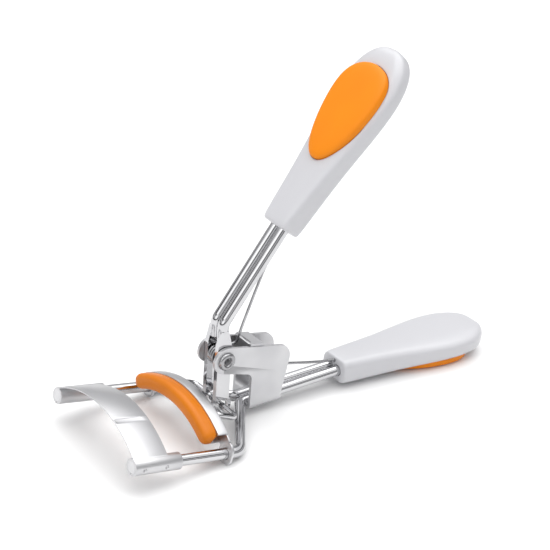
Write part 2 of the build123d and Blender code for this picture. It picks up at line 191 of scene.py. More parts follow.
def pick(piece, kind, test):
    """Select the parts of the open mesh whose middle, in millimetres, passes a test."""
    bpy.ops.mesh.select_mode(type=kind)
    bpy.ops.mesh.select_all(action="DESELECT")
    mesh = bmesh.from_edit_mesh(piece.data)
    for part in {"VERT": mesh.verts, "EDGE": mesh.edges, "FACE": mesh.faces}[kind]:
        points = [part.co] if kind == "VERT" else [v.co for v in part.verts]
        middle = sum(points, Vector()) / len(points) / MM
        part.select_set(bool(test(middle)))
    mesh.select_flush_mode()
    bmesh.update_edit_mesh(piece.data)


def push(offset, kind="region", about=None, factor=(1, 1, 1)):
    """Extrude the selection by millimetres, then scale its end about a point."""
    move = {"value": Vector(offset) * MM}
    if kind == "region":
        bpy.ops.mesh.extrude_region_move(TRANSFORM_OT_translate=move)
    else:
        bpy.ops.mesh.extrude_edges_move(TRANSFORM_OT_translate=move)
    if about is not None:
        bpy.ops.transform.resize(value=factor, center_override=Vector(about) * MM)


def turn_round(angle, centre, steps, axis=(1, 0, 0)):
    """Spin the selection by degrees, right-handed, about an axis through a point in millimetres."""
    bpy.ops.mesh.spin(
        steps=steps, angle=-math.radians(angle), center=Vector(centre) * MM, axis=axis, dupli=False
    )


def finish_with(piece, kind, **settings):
    """Add a modifier and apply it."""
    only(piece)
    modifier = piece.modifiers.new(kind.title(), kind)
    for key, value in settings.items():
        setattr(modifier, key, value)
    bpy.ops.object.modifier_apply(modifier=modifier.name)


def soften(piece, width, segments=2, angle=35):
    """Round the sharp edges of a piece."""
    finish_with(
        piece, "BEVEL", width=width, segments=segments, limit_method="ANGLE",
        angle_limit=math.radians(angle), harden_normals=False, use_clamp_overlap=True,
    )


def cut(piece, *cutters):
    """Take other shapes out of a piece."""
    for cutter in cutters:
        finish_with(piece, "BOOLEAN", operation="DIFFERENCE", object=cutter, solver="EXACT")
        bpy.data.objects.remove(cutter)


def weld(piece, *others):
    """Join other shapes to a piece by union."""
    for other in others:
        finish_with(piece, "BOOLEAN", operation="UNION", object=other, solver="EXACT")
        bpy.data.objects.remove(other)


def smooth(piece, angle=32):
    """Shade smooth up to an angle."""
    only(piece)
    bpy.ops.object.shade_smooth_by_angle(angle=math.radians(angle))


def settle(piece, place, finish, body, slot, *nodes):
    """Put a piece in its place, give it its finish and let it ride on its body."""
    piece.data.transform(place)
    piece.data.update()
    piece.data.materials.clear()
    piece.data.materials.append(finish)
    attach(piece, body)
    if nodes:
        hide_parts(*nodes)
    return piece


# ---------------------------------------------------------------- finishes

def node(tree, kind, **settings):
    """Add a node with its settings; settings whose names end in _in are input values."""
    made = tree.nodes.new(f"ShaderNode{kind}")
    for key, value in settings.items():
        if key.endswith("_in"):
            made.inputs[key[:-3].replace("_", " ")].default_value = value
        else:
            setattr(made, key, value)
    return made


def join(tree, source, output, target, entry):
    """Link an output to an input."""
    tree.links.new(source.outputs[output], target.inputs[entry])


def effect(name, inputs, outputs):
    """Start a node group with its sockets."""
    tree = bpy.data.node_groups.new(name, "ShaderNodeTree")
    for label, kind, value in inputs:
        socket = tree.interface.new_socket(name=label, in_out="INPUT", socket_type=f"NodeSocket{kind}")
        socket.default_value = value
    for label, kind in outputs:
        tree.interface.new_socket(name=label, in_out="OUTPUT", socket_type=f"NodeSocket{kind}")
    return tree, tree.nodes.new("NodeGroupInput"), tree.nodes.new("NodeGroupOutput")


def scratches():
    """Group: fine marks that run along one direction."""
    tree, given, made = effect(
        "Fine scratches",
        [("Place", "Vector", (0, 0, 0)), ("Stretch", "Vector", (1, 1, 1)), ("Density", "Float", 900.0)],
        [("Mask", "Float")],
    )
    along = node(tree, "VectorMath", operation="MULTIPLY")
    noise = node(tree, "TexNoise", Detail_in=4.0, Roughness_in=0.6)
    ramp = node(tree, "MapRange", From_Min_in=0.52, From_Max_in=0.72)
    join(tree, given, "Place", along, 0)
    join(tree, given, "Stretch", along, 1)
    join(tree, along, "Vector", noise, "Vector")
    join(tree, given, "Density", noise, "Scale")
    join(tree, noise, "Fac", ramp, "Value")
    join(tree, ramp, "Result", made, "Mask")
    return tree


def smudges():
    """Group: soft patches left by handling, broken up by small specks."""
    tree, given, made = effect(
        "Handling smudges",
        [("Place", "Vector", (0, 0, 0)), ("Patch", "Float", 120.0), ("Speck", "Float", 2600.0)],
        [("Patches", "Float"), ("Specks", "Float")],
    )
    patch = node(tree, "TexNoise", Detail_in=1.5, Roughness_in=0.45, Distortion_in=0.1)
    speck = node(tree, "TexNoise", Detail_in=2.0, Roughness_in=0.5)
    wide = node(tree, "MapRange", From_Min_in=0.30, From_Max_in=0.75)
    small = node(tree, "MapRange", From_Min_in=0.62, From_Max_in=0.74)
    for noise, scale, ramp, output in ((patch, "Patch", wide, "Patches"), (speck, "Speck", small, "Specks")):
        join(tree, given, "Place", noise, "Vector")
        join(tree, given, scale, noise, "Scale")
        join(tree, noise, "Fac", ramp, "Value")
        join(tree, ramp, "Result", made, output)
    return tree


def moulded_grain():
    """Group: the pebbled skin of moulded plastic and rubber."""
    tree, given, made = effect(
        "Moulded grain",
        [("Place", "Vector", (0, 0, 0)), ("Cell", "Float", 2200.0), ("Wave", "Float", 260.0)],
        [("Height", "Float")],
    )
    cells = node(tree, "TexVoronoi", feature="SMOOTH_F1", Smoothness_in=0.7)
    waves = node(tree, "TexNoise", Detail_in=3.0)
    both = node(tree, "Math", operation="MULTIPLY_ADD")
    both.inputs[1].default_value = 0.35
    join(tree, given, "Place", cells, "Vector")
    join(tree, given, "Cell", cells, "Scale")
    join(tree, given, "Place", waves, "Vector")
    join(tree, given, "Wave", waves, "Scale")
    join(tree, cells, "Distance", both, 0)
    join(tree, waves, "Fac", both, 2)
    join(tree, both, "Value", made, "Height")
    return tree


def finish_base(name, metallic, coat=0.0, coat_roughness=0.03, ior=1.5):
    """Material with its shader, and coordinates that are fixed to the piece."""
    finish = bpy.data.materials.new(name)
    finish.use_nodes = True
    tree = finish.node_tree
    shader = tree.nodes["Principled BSDF"]
    shader.inputs["Metallic"].default_value = metallic
    shader.inputs["Coat Weight"].default_value = coat
    shader.inputs["Coat Roughness"].default_value = coat_roughness
    shader.inputs["IOR"].default_value = ior
    place = node(tree, "TexCoord")
    return finish, tree, shader, place


def two_tone(tree, shader, mask, output, light, dull):
    """Base colour between two tones by a mask."""
    mix = node(tree, "Mix", data_type="RGBA")
    mix.inputs[6].default_value = (*light, 1)
    mix.inputs[7].default_value = (*dull, 1)
    tree.links.new(mask.outputs[output], mix.inputs[0])
    tree.links.new(mix.outputs[2], shader.inputs["Base Color"])


def raise_skin(tree, shader, source, output, strength, depth):
    """Bump from a height."""
    bump = node(tree, "Bump", Strength_in=strength, Distance_in=depth)
    join(tree, source, output, bump, "Height")
    join(tree, bump, "Normal", shader, "Normal")


def metal(name, light, dull, low, high, stretch, density):
    """Plated or bright metal: smudged, and finely scratched along its length."""
    finish, tree, shader, place = finish_base(name, 1.0)
    handling = node(tree, "Group", node_tree=bpy.data.node_groups["Handling smudges"])
    marks = node(tree, "Group", node_tree=bpy.data.node_groups["Fine scratches"])
    marks.inputs["Stretch"].default_value = stretch
    marks.inputs["Density"].default_value = density
    join(tree, place, "Object", handling, "Place")
    join(tree, place, "Object", marks, "Place")
    worn = node(tree, "Math", operation="MAXIMUM")
    faint = node(tree, "Math", operation="MULTIPLY")
    faint.inputs[1].default_value = 0.45
    join(tree, marks, "Mask", faint, 0)
    join(tree, handling, "Patches", worn, 0)
    join(tree, faint, "Value", worn, 1)
    two_tone(tree, shader, worn, "Value", light, dull)
    rough = node(tree, "MapRange", To_Min_in=low, To_Max_in=high)
    join(tree, worn, "Value", rough, "Value")
    join(tree, rough, "Result", shader, "Roughness")
    raise_skin(tree, shader, marks, "Mask", 0.05, 0.01 * MM)
    return finish


def moulded(name, light, dull, low, high, cell, depth, coat=0.0, raised=0.25, ior=1.5):
    """Moulded plastic or rubber: mottled, grained and a little rubbed."""
    finish, tree, shader, place = finish_base(name, 0.0, coat, ior=ior)
    handling = node(tree, "Group", node_tree=bpy.data.node_groups["Handling smudges"])
    handling.inputs["Patch"].default_value = 90.0
    grain = node(tree, "Group", node_tree=bpy.data.node_groups["Moulded grain"])
    grain.inputs["Cell"].default_value = cell
    join(tree, place, "Object", handling, "Place")
    join(tree, place, "Object", grain, "Place")
    two_tone(tree, shader, handling, "Patches", light, dull)
    rough = node(tree, "MapRange", To_Min_in=low, To_Max_in=high)
    specks = node(tree, "Math", operation="MAXIMUM")
    join(tree, handling, "Patches", specks, 0)
    join(tree, handling, "Specks", specks, 1)
    join(tree, specks, "Value", rough, "Value")
    join(tree, rough, "Result", shader, "Roughness")
    raise_skin(tree, shader, grain, "Height", raised, depth)
    return finish


def dress(name, finish):
    """Give a CAD node its finish."""
    piece = NODES[name]
    piece.data.materials.clear()
    piece.data.materials.append(finish)


# ---------------------------------------------------------------- fixed jaw

JAW_LENGTH = 9.8
JAW_RADIUS = 35.558            # outer face of the arch
JAW_CENTRE = (0, 0, -27.758)
JAW_HALF = 33.68               # degrees to where the arch meets each sleeve
SHEET = 0.7
SLEEVE_LENGTH = 13.6
SLEEVE_RADIUS = 2.2
SEAM = 14                      # degrees left open where the rolled sheet meets itself
STAKES = (2.6, 9.0)            # dimples that lock each sleeve on its rail
STAKE_RADIUS = 0.55
EMBOSS_X = 3.9                 # middle of the pressed slot
EMBOSS_Y = -8.0
EMBOSS = (7.2, 1.5, 1.0)       # length, width and height of the shape that presses it
EMBOSS_LIFT = 0.2
EMBOSS_ROUND = 0.72


def build_fixed_jaw(sizes, finish):
    """Arched sheet, its rolled sleeves, the stakes that lock them and one pressed slot."""
    half = math.radians(JAW_HALF)
    edge_radius = JAW_RADIUS - SHEET / 2
    rim = (JAW_LENGTH / 2, -edge_radius * math.sin(half), JAW_CENTRE[2] + edge_radius * math.cos(half))
    jaw = start(
        "plane", "fixed_jaw_shell", location=rim, scale=(JAW_LENGTH, SHEET, 1),
        rotation=(math.pi / 2 - half + math.pi, 0, 0), size=1,
    )
    edit(jaw)
    turn_round(-2 * JAW_HALF, JAW_CENTRE, sizes.arc_steps)
    close_up()
    for hand in (-1, 1):
        wall = SLEEVE_RADIUS - SHEET / 2
        sleeve = start(
            "plane", "sleeve", location=(SLEEVE_LENGTH / 2, hand * RAIL_Y / MM, -wall),
            scale=(SLEEVE_LENGTH, SHEET, 1), rotation=(math.pi / 2, 0, 0), size=1,
        )
        edit(sleeve)
        turn_round(360 - SEAM, (0, hand * RAIL_Y / MM, 0), 40)
        close_up()
        weld(jaw, sleeve)
    slope = math.asin(-EMBOSS_Y / JAW_RADIUS)
    crest = JAW_CENTRE[2] + JAW_RADIUS * math.cos(slope)
    slot = start("cube", "slot", scale=EMBOSS, size=1)
    edit(slot)
    pick(slot, "EDGE", lambda m: abs(m.z) < 0.1)
    bpy.ops.mesh.bevel(offset=EMBOSS_ROUND * MM, segments=6, affect="EDGES")
    close_up()
    slot.data.transform(
        Matrix.Translation(Vector((EMBOSS_X, EMBOSS_Y, crest + EMBOSS_LIFT)) * MM)
        @ Matrix.Rotation(slope, 4, "X")
    )
    stakes = [
        start("uv_sphere", "stake", location=(x, hand * (RAIL_Y / MM + SLEEVE_RADIUS + 0.1), 0),
              radius=STAKE_RADIUS, segments=16, ring_count=10)
        for hand in (-1, 1) for x in STAKES
    ]
    cut(jaw, slot, *stakes)
    soften(jaw, sizes.sheet_edge)
    smooth(jaw)
    return settle(jaw, CLAMP, finish, "frame", "plated_sheet", "fixed_jaw")


# ---------------------------------------------------------------- moving jaw and pad

ARCH_CENTRE = (0, 0, -24.4)
ARCH_RADIUS = 32.0
CHANNEL_HALF = 30.5            # degrees covered by the channel, its back wall and the pad
BACK_HALF = 34.0               # degrees covered by the back wall with its ears
PAD_HALF = 28.0
CHANNEL_BACK = 28.6
CHANNEL_LIP = 25.4
CHANNEL_RISE = 2.2
CHANNEL_SHEET = 0.6
PAD_FRONT = 21.6
PAD_RISE = 2.1
EAR = (5.4, 6.1)               # width and height
EAR_MIDDLE = 0.35
EAR_ROUND = 2.2
EAR_BORE = 1.58
LUG_Y = 7.0
LUG_HINGE = (30.0, 6.0)
LUG_RADIUS = 1.9
LUG_BORE = 0.9
LUG = 0.8                      # thickness
TAB = 1.8                      # from the channel's back to each lug's middle
PAD_END = ((0.8, 0.93), (0.65, 0.85), (0.4, 0.70), (0.2, 0.45))    # steps that round each end


def arch_point(angle, x, rise=0.0):
    """Point on the arch at an angle from its crown."""
    radius = ARCH_RADIUS + rise
    turn = math.radians(angle)
    return Vector((x, radius * math.sin(turn), ARCH_CENTRE[2] + radius * math.cos(turn)))


def build_moving_jaw(sizes, finish):
    """Channel that holds the pad, an ear on each rail and two lugs for the link."""
    corner = arch_point(0, CHANNEL_BACK - CHANNEL_SHEET / 2, CHANNEL_RISE - CHANNEL_SHEET / 2)
    jaw = start(
        "plane", "moving_jaw_shell", location=corner, scale=(CHANNEL_SHEET, CHANNEL_SHEET, 1),
        rotation=(math.pi / 2, 0, 0), size=1,
    )
    edit(jaw)
    flange = CHANNEL_BACK - CHANNEL_LIP - CHANNEL_SHEET
    wall = 2 * (CHANNEL_RISE - CHANNEL_SHEET)
    low = corner.z - CHANNEL_SHEET / 2
    pick(jaw, "EDGE", lambda m: m.x < corner.x - 0.1)
    push((-flange, 0, 0), "edges")
    pick(jaw, "EDGE", lambda m: abs(m.z - low) < 0.01 and m.x > CHANNEL_BACK - CHANNEL_SHEET)
    push((0, 0, -wall), "edges")
    push((0, 0, -CHANNEL_SHEET), "edges")
    pick(jaw, "EDGE", lambda m: m.z < low - wall and m.x < corner.x - 0.1)
    push((-flange, 0, 0), "edges")
    bpy.ops.mesh.select_all(action="SELECT")
    bpy.ops.mesh.select_mode(type="FACE")
    bpy.ops.transform.rotate(
        value=math.radians(-CHANNEL_HALF), orient_axis="X", center_override=Vector(ARCH_CENTRE) * MM
    )
    side = 1 if max(v.co.y for v in bmesh.from_edit_mesh(jaw.data).verts) > 0.002 else -1
    turn_round(side * 2 * CHANNEL_HALF, ARCH_CENTRE, sizes.arc_steps)
    close_up()
    backs = []
    for hand in (-1, 1):
        back = start(
            "plane", "back", location=arch_point(0, CHANNEL_BACK - CHANNEL_SHEET / 2),
            scale=(CHANNEL_SHEET, 2 * CHANNEL_RISE - 0.6, 1), rotation=(math.pi / 2, 0, 0), size=1,
        )
        back.data.transform(
            Matrix.Translation(Vector(ARCH_CENTRE) * MM)
            @ Matrix.Rotation(-hand * math.radians(CHANNEL_HALF - 1), 4, "X")
            @ Matrix.Translation(-Vector(ARCH_CENTRE) * MM)
        )
        edit(back)
        turn_round(-hand * (BACK_HALF - CHANNEL_HALF + 1), ARCH_CENTRE, 4)
        close_up()
        backs.append(back)
        ear = start(
            "cube", "ear", location=(CHANNEL_BACK - CHANNEL_SHEET / 2, hand * RAIL_Y / MM, EAR_MIDDLE),
            scale=(CHANNEL_SHEET, *EAR), size=1,
        )
        edit(ear)
        pick(ear, "EDGE", lambda m: abs(m.x - CHANNEL_BACK + CHANNEL_SHEET / 2) < 0.05)
        bpy.ops.mesh.bevel(offset=EAR_ROUND * MM, segments=6, affect="EDGES")
        close_up()
        hole = start(
            "cylinder", "hole", location=(CHANNEL_BACK, hand * RAIL_Y / MM, 0), rotation=(0, math.pi / 2, 0),
            radius=EAR_BORE, depth=3, vertices=40,
        )
        cut(ear, hole)
        backs.append(ear)
        lug = start(
            "cylinder", "lug", location=(LUG_HINGE[0], hand * LUG_Y, LUG_HINGE[1]),
            rotation=(math.pi / 2, 0, 0), radius=LUG_RADIUS, depth=LUG, vertices=36,
        )
        tab = start(
            "cube", "tab", location=(LUG_HINGE[0] - TAB / 2, hand * LUG_Y, LUG_HINGE[1]),
            scale=(TAB, LUG, 2 * LUG_RADIUS), size=1,
        )
        weld(lug, tab)
        eye = start(
            "cylinder", "eye", location=(LUG_HINGE[0], hand * LUG_Y, LUG_HINGE[1]),
            rotation=(math.pi / 2, 0, 0), radius=LUG_BORE, depth=3, vertices=28,
        )
        cut(lug, eye)
        backs.append(lug)
    weld(jaw, *backs)
    soften(jaw, 0.8 * sizes.sheet_edge)
    smooth(jaw)
    return settle(jaw, CLAMP, finish, "jaw_carriage", "plated_sheet", "moving_jaw")


def build_lash_pad(sizes, finish):
    """Rounded rubber strip with soft ends and a tongue that sits in the channel."""
    depth = CHANNEL_LIP - PAD_FRONT
    middle = arch_point(0, PAD_FRONT + depth / 2)
    pad = start(
        "plane", "lash_pad_strip", location=middle, scale=(depth, 2 * PAD_RISE, 1),
        rotation=(math.pi / 2, 0, 0), size=1,
    )
    edit(pad)
    pick(pad, "VERT", lambda m: m.x < middle.x)
    bpy.ops.mesh.bevel(offset=sizes.pad_corner, segments=6, affect="VERTICES")
    pick(pad, "VERT", lambda m: m.x > middle.x)
    bpy.ops.mesh.bevel(offset=0.5 * MM, segments=3, affect="VERTICES")
    pick(pad, "EDGE", lambda m: m.x > CHANNEL_LIP - 0.05)
    push((2.4, 0, 0), "edges")
    bpy.ops.mesh.select_mode(type="FACE")
    bpy.ops.mesh.select_all(action="SELECT")
    bpy.ops.transform.rotate(
        value=math.radians(-PAD_HALF), orient_axis="X", center_override=Vector(ARCH_CENTRE) * MM
    )
    side = 1 if max(v.co.y for v in bmesh.from_edit_mesh(pad.data).verts) > 0.002 else -1
    turn_round(side * 2 * PAD_HALF, ARCH_CENTRE, sizes.arc_steps)
    for hand in (-1, 1):
        tip = arch_point(hand * PAD_HALF, middle.x)
        turn = math.radians(hand * PAD_HALF)
        out = Vector((0, math.cos(turn), -math.sin(turn))) * hand
        pick(pad, "FACE", lambda m: abs((m - tip).dot(out)) < 0.05 and m.x < CHANNEL_LIP + 0.1)
        for length, factor in PAD_END:
            tip = tip + out * length
            push(out * length, "region", tip, (factor, factor, factor))
    close_up()
    smooth(pad, 50)
    return settle(pad, CLAMP, finish, "jaw_carriage", "pad_orange", "lash_pad")


# ---------------------------------------------------------------- bracket and rivet

PLATE = 0.8
PLATE_Y = 3.25
NOSE = 3.7                     # radius of each cheek round the rivet
PLATE_END = 55.0
PLATE_TOP = 21.6
PLATE_CORNER = 4.2
WINDOW = (43.4, 13.6)          # corner of the cut-out below the nose
WINDOW_CORNER = 1.5
WRAP = (45.2, 55.4)            # where the fold starts and ends along the wires
TWIN_Y = 1.7                   # half the spacing of the frame wires
LEVER_Y = 1.55                 # half the spacing of the lever wires
FRAME_ANGLE = 11.62
FRAME_THROAT = (43.6, 4.07)
BRIDGE = (41.0, 45.2, 22.3, 18.6)    # from, to, top, lip's lower edge
BRIDGE_ROUND = 0.6
SHANK_RADIUS = 1.2


def frame_height(x):
    """Height of the frame wires' axis above the rails behind the throat."""
    return FRAME_THROAT[1] + (x - FRAME_THROAT[0]) * math.tan(math.radians(FRAME_ANGLE))


def build_bracket(sizes, finish):
    """Two cheeks, the fold under the frame wires and the bridge that joins them."""
    shapes = []
    for hand in (-1, 1):
        face = hand * (PLATE_Y + PLATE / 2)
        cheek = start(
            "plane", "cheek",
            location=((WRAP[0] + PLATE_END) / 2, face - PLATE / 2, (WINDOW[1] + 5.0) / 2),
            scale=(PLATE_END - WRAP[0], WINDOW[1] - 5.0, 1), rotation=(math.pi / 2, 0, 0), size=1,
        )
        edit(cheek)
        pick(cheek, "VERT", lambda m: m.z < 6 and m.x > 50)
        bpy.ops.transform.translate(value=(0, 0, (frame_height(PLATE_END) - 5.0) * MM))
        pick(cheek, "VERT", lambda m: m.z < 6 and m.x < 50)
        bpy.ops.transform.translate(value=(0, 0, (frame_height(WRAP[0]) - 5.0) * MM))
        pick(cheek, "EDGE", lambda m: abs(m.z - WINDOW[1]) < 0.01)
        push((0, 0, PLATE_TOP - WINDOW[1]), "edges")
        pick(cheek, "EDGE", lambda m: m.z > WINDOW[1] + 0.5 and m.x < WRAP[0] + 0.05)
        push((-(WRAP[0] - PIVOT.x / MM), 0, 0), "edges")
        pick(cheek, "VERT", lambda m: m.x < 40 and m.z < PLATE_TOP - 1)
        bpy.ops.transform.translate(value=(0, 0, (PIVOT.z / MM - NOSE - WINDOW[1]) * MM))
        pick(cheek, "VERT", lambda m: m.x < 40 and m.z > PLATE_TOP - 1)
        bpy.ops.transform.translate(value=(0, 0, (PIVOT.z / MM + NOSE - PLATE_TOP) * MM))
        bpy.ops.mesh.select_mode(type="FACE")
        bpy.ops.mesh.select_all(action="SELECT")
        bpy.ops.mesh.dissolve_faces()
        pick(cheek, "VERT", lambda m: abs(m.x - WRAP[0]) < 0.1 and abs(m.z - WINDOW[1]) < 0.1)
        bpy.ops.transform.translate(value=((WINDOW[0] - WRAP[0]) * MM, 0, 0))
        bpy.ops.mesh.bevel(offset=WINDOW_CORNER * MM, segments=6, affect="VERTICES")
        pick(cheek, "VERT", lambda m: m.x > 50 and m.z > PLATE_TOP - 1)
        bpy.ops.mesh.bevel(offset=PLATE_CORNER * MM, segments=8, affect="VERTICES")
        bpy.ops.mesh.select_mode(type="FACE")
        bpy.ops.mesh.select_all(action="SELECT")
        push((0, PLATE, 0))
        close_up()
        nose = start(
            "cylinder", "nose", location=(PIVOT.x / MM, face, PIVOT.z / MM), rotation=(math.pi / 2, 0, 0),
            radius=NOSE, depth=PLATE, vertices=56,
        )
        weld(cheek, nose)
        bore = start(
            "cylinder", "bore", location=(PIVOT.x / MM, face, PIVOT.z / MM), rotation=(math.pi / 2, 0, 0),
            radius=SHANK_RADIUS, depth=4, vertices=32,
        )
        cut(cheek, bore)
        shapes.append(cheek)
    # the fold: down the near wire, across, and up the far one, drawn along the wires
    run = (WRAP[1] - WRAP[0]) / math.cos(math.radians(FRAME_ANGLE))
    fold = start(
        "plane", "fold", location=(run / 2, -(PLATE_Y + PLATE / 2), 0), scale=(run, PLATE, 1), size=1,
    )
    edit(fold)
    turn_round(90, (0, -TWIN_Y, 0), 10)
    push((0, 2 * TWIN_Y, 0))
    turn_round(90, (0, TWIN_Y, 0), 10)
    close_up()
    fold.data.transform(
        Matrix.Translation(Vector((WRAP[0], 0, frame_height(WRAP[0]))) * MM)
        @ Matrix.Rotation(-math.radians(FRAME_ANGLE), 4, "Y")
    )
    bridge = start(
        "cube", "bridge",
        location=((BRIDGE[0] + BRIDGE[1]) / 2, 0, BRIDGE[2] - PLATE / 2),
        scale=(BRIDGE[1] - BRIDGE[0], 2 * PLATE_Y + PLATE, PLATE), size=1,
    )
    lip = start(
        "cube", "lip", location=(BRIDGE[0] + PLATE / 2, 0, (BRIDGE[2] + BRIDGE[3]) / 2),
        scale=(PLATE, 2 * PLATE_Y + PLATE, BRIDGE[2] - BRIDGE[3]), size=1,
    )
    weld(bridge, lip)
    edit(bridge)
    pick(bridge, "EDGE", lambda m: m.x < BRIDGE[0] + 0.05 and m.z > BRIDGE[2] - 0.05)
    bpy.ops.mesh.bevel(offset=BRIDGE_ROUND * MM, segments=5, affect="EDGES")
    close_up()
    bracket = shapes[0]
    bracket.name = bracket.data.name = "pivot_bracket_sheet"
    weld(bracket, shapes[1], fold, bridge)
    soften(bracket, sizes.sheet_edge)
    smooth(bracket)
    return settle(bracket, CLAMP, finish, "frame", "plated_sheet", "pivot_bracket")


def build_rivet(finish):
    """Shank with a rolled near head and a domed far head."""
    face = PLATE_Y + PLATE
    middle = PIVOT / MM
    rivet = start(
        "cylinder", "pivot_rivet_turned", location=middle, rotation=(math.pi / 2, 0, 0),
        radius=SHANK_RADIUS, depth=2 * face + 0.5, vertices=40,
    )
    roll = start(
        "torus", "roll", location=(middle.x, -face - 0.15, middle.z), rotation=(math.pi / 2, 0, 0),
        major_radius=1.75, minor_radius=0.72, major_segments=48, minor_segments=14,
    )
    cup = start(
        "cone", "cup", location=(middle.x, -face - 0.3, middle.z), rotation=(math.pi / 2, 0, 0), radius1=0.45,
        radius2=1.3, depth=1.8, vertices=40,
    )
    dome = start(
        "uv_sphere", "dome", location=(middle.x, face + 0.1, middle.z), scale=(1, 0.62, 1), radius=3.0,
        segments=48, ring_count=24,
    )
    edit(dome)
    bpy.ops.mesh.select_all(action="SELECT")
    bpy.ops.mesh.bisect(
        plane_co=Vector((middle.x, face, middle.z)) * MM, plane_no=(0, 1, 0), use_fill=True, clear_inner=True
    )
    close_up()
    cut(rivet, cup)
    weld(rivet, roll, dome)
    smooth(rivet, 40)
    return settle(rivet, CLAMP, finish, "frame", "rivet_steel", "pivot_rivet")


# ---------------------------------------------------------------- spring

COIL_RADIUS = 2.3
COIL_PITCH = 0.85
COIL_RUN = 1.2                 # straight lead from the coil into each arm
COIL_STEPS = 20                # points in each turn
UPPER_ARM = (
    (38.9, 0.9, 20.5), (39.6, 0.6, 21.6), (39.6, 0.3, 24.8), (41.2, 0, 36.1), (42.7, 0, 44.6),
    (46.7, 0, 54.2),
)
LOWER_ARM = ((45.0, -0.6, 15.0), (57.25, 0, 13.6), (74.2, 0, 12.8), (79.0, 0, 13.6))


def build_spring(sizes, finish):
    """One wire: upper arm, coil on the pivot and lower arm."""
    turns = sizes.coil_turns
    end = COIL_PITCH * turns / 2
    lean = COIL_PITCH / (2 * math.pi * COIL_RADIUS) * COIL_RUN
    points = [Vector(p) for p in reversed(UPPER_ARM)]
    points.append(Vector((PIVOT.x / MM + COIL_RUN, end + lean, PIVOT.z / MM + COIL_RADIUS)))
    steps = int(turns * COIL_STEPS)
    for step in range(steps + 1):
        turn = 2 * math.pi * turns * step / steps
        points.append(Vector((
            PIVOT.x / MM - COIL_RADIUS * math.sin(turn),
            end - COIL_PITCH * turns * step / steps,
            PIVOT.z / MM + COIL_RADIUS * math.cos(turn),
        )))
    points.append(Vector((PIVOT.x / MM + COIL_RUN, -end - lean, PIVOT.z / MM - COIL_RADIUS)))
    points += [Vector(p) for p in LOWER_ARM]
    bpy.ops.object.select_all(action="DESELECT")
    bpy.ops.curve.primitive_nurbs_path_add()
    wire = bpy.context.object
    wire.name = wire.data.name = "return_spring_wire"
    wire.data.splines.clear()
    run = wire.data.splines.new("NURBS")
    run.points.add(len(points) - 1)
    for place, point in zip(run.points, points):
        place.co = (*(point * MM), 1)
    run.order_u = 3
    run.use_endpoint_u = True
    run.resolution_u = 6
    wire.data.bevel_depth = sizes.spring_wire / 2
    wire.data.bevel_resolution = 4
    wire.data.use_fill_caps = True
    only(wire)
    bpy.ops.object.convert(target="MESH")
    spring = bpy.context.object
    smooth(spring, 50)
    spring.data.transform(CLAMP)
    spring.data.materials.clear()
    spring.data.materials.append(finish)
    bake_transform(spring)
    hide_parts("return_spring")
    return spring


# ---------------------------------------------------------------- handles and grips

# Cross sections of a handle: place along it, half width and half thickness.
HANDLE_STATIONS = (
    (0.0, 4.5, 3.0), (0.35, 4.95, 3.45), (1.1, 5.25, 3.7), (6.0, 5.75, 3.66), (12.0, 6.35, 3.6),
    (18.0, 7.05, 3.5), (24.0, 7.95, 3.42), (30.0, 9.0, 3.34), (35.5, 9.75, 3.28), (40.5, 10.0, 3.22),
    (45.0, 9.5, 3.2), (48.5, 8.35, 3.15), (51.0, 6.7, 3.0), (52.8, 4.7, 2.6), (53.6, 2.7, 2.0),
    (53.95, 1.1, 1.1),
)
GRIP_START = 19.5
GRIP_LENGTH = 28.3
GRIP_WIDTH = 8.75
GRIP_FACE = 4.99               # the grips' crowns, off the handle's middle
GRIP_SEAT = 3.25
GRIP_DEPTH = 2.3
GRIP_MIDDLE = (35.5, 0)
SEAT_DEPTH = 2.4
WIRE_MOUTH = 1.62
SPRING_MOUTH = 0.62
UPPER_ARM_LIFT = -2.06         # where the spring enters each handle, off its middle
LOWER_ARM_LIFT = -2.33
# Steps that crown a grip: its size to the outline, and its share of the height left.
GRIP_CROWN = (
    (0.988, 0.22), (0.968, 0.40), (0.94, 0.55), (0.90, 0.68), (0.84, 0.79), (0.75, 0.88), (0.62, 0.94),
    (0.45, 0.98), (0.25, 1.0),
)


def egg(angle, margin=0.0):
    """Outline of a grip: narrow towards the hinge, round towards the tip."""
    share = 0.5 - 0.5 * math.cos(angle)
    swell = 0.80 + 0.14 * share + 0.5 * share**3
    across = (GRIP_WIDTH * swell + margin) * math.sin(angle)
    return GRIP_START - margin + (GRIP_LENGTH + 2 * margin) * share, across


def egg_disc(name, height, margin=0.0, vertices=72):
    """Flat egg-shaped face."""
    disc = start("circle", name, location=(0, 0, height), radius=1, vertices=vertices, fill_type="NGON")
    for index, vertex in enumerate(disc.data.vertices):
        along, across = egg(2 * math.pi * index / vertices, margin)
        vertex.co.x, vertex.co.y = along * MM, across * MM
    return disc


